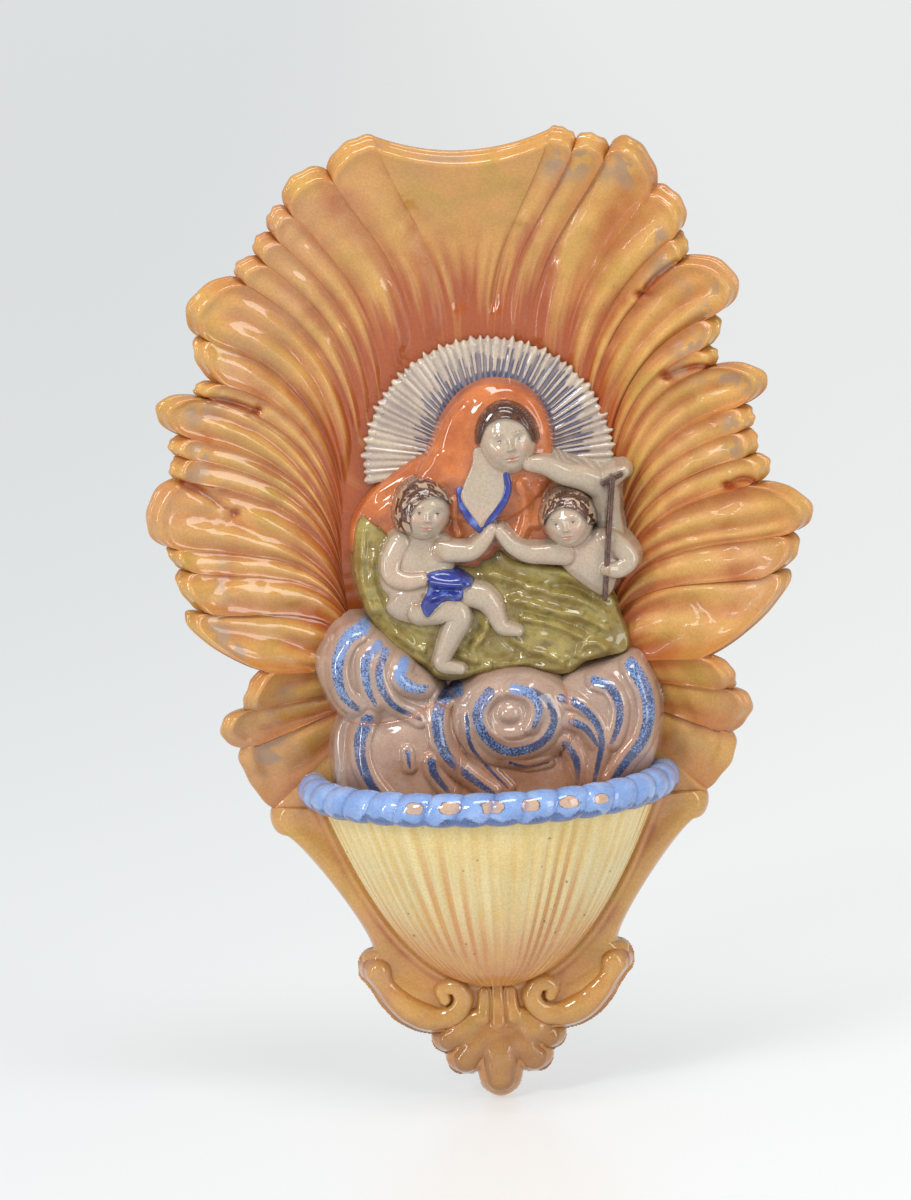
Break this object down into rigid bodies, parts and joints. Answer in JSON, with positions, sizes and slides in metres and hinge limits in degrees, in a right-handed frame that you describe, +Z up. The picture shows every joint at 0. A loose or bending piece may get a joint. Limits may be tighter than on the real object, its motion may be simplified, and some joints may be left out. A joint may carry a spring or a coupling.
{
  "type": "holy water stoup",
  "caption": "Wall-hung holy water stoup of glazed earthenware: a leaf-shaped shield with a mother-and-children relief above a fluted half bowl with a roped rim.",
  "frame": {"origin": "middle of the flat seat on the back of the leaf shield, on the wall's face", "axes": "+Z up; +Y into the wall, so the relief and the bowl face -Y; +X to the viewer's right"},
  "size_m": [0.2375, 0.0705, 0.3584],
  "materials": {
    "leaf_glaze": "gloss",
    "mantle_glaze": "gloss",
    "nimbus_glaze": "gloss",
    "flesh_glaze": "gloss",
    "olive_glaze": "gloss",
    "cobalt_glaze": "gloss",
    "hair_glaze": "gloss",
    "cloud_glaze": "gloss",
    "bowl_glaze": "gloss",
    "rim_glaze": "gloss",
    "biscuit": "matte"
  },
  "bodies": {
    "root": {"leaf_shield": "leaf_glaze", "hanging_lug": "biscuit", "lower_bracket": "leaf_glaze", "scroll_left": "leaf_glaze", "scroll_right": "leaf_glaze", "pendant": "leaf_glaze", "nimbus": "nimbus_glaze", "mother_mantle": "mantle_glaze", "mother_bust": "flesh_glaze", "mother_neckline": "cobalt_glaze", "mother_head": "flesh_glaze", "mother_hair": "hair_glaze", "mother_arm": "flesh_glaze", "lap_drapery": "olive_glaze", "cloud_foot": "cloud_glaze", "cloud_low": "cloud_glaze", "cloud_right": "cloud_glaze", "cloud_left": "cloud_glaze", "cloud_scroll": "cloud_glaze", "seated_child_torso": "flesh_glaze", "seated_child_far_leg": "flesh_glaze", "seated_child_near_leg": "flesh_glaze", "seated_child_loincloth": "cobalt_glaze", "seated_child_far_arm": "flesh_glaze", "seated_child_near_arm": "flesh_glaze", "seated_child_head": "flesh_glaze", "seated_child_hair": "hair_glaze", "standing_child_torso": "flesh_glaze", "standing_child_far_arm": "flesh_glaze", "standing_child_staff_arm": "flesh_glaze", "standing_child_head": "flesh_glaze", "standing_child_hair": "hair_glaze", "reed_staff": "hair_glaze", "bowl": "bowl_glaze", "rim_rope": "rim_glaze"}
  },
  "joints": []
}
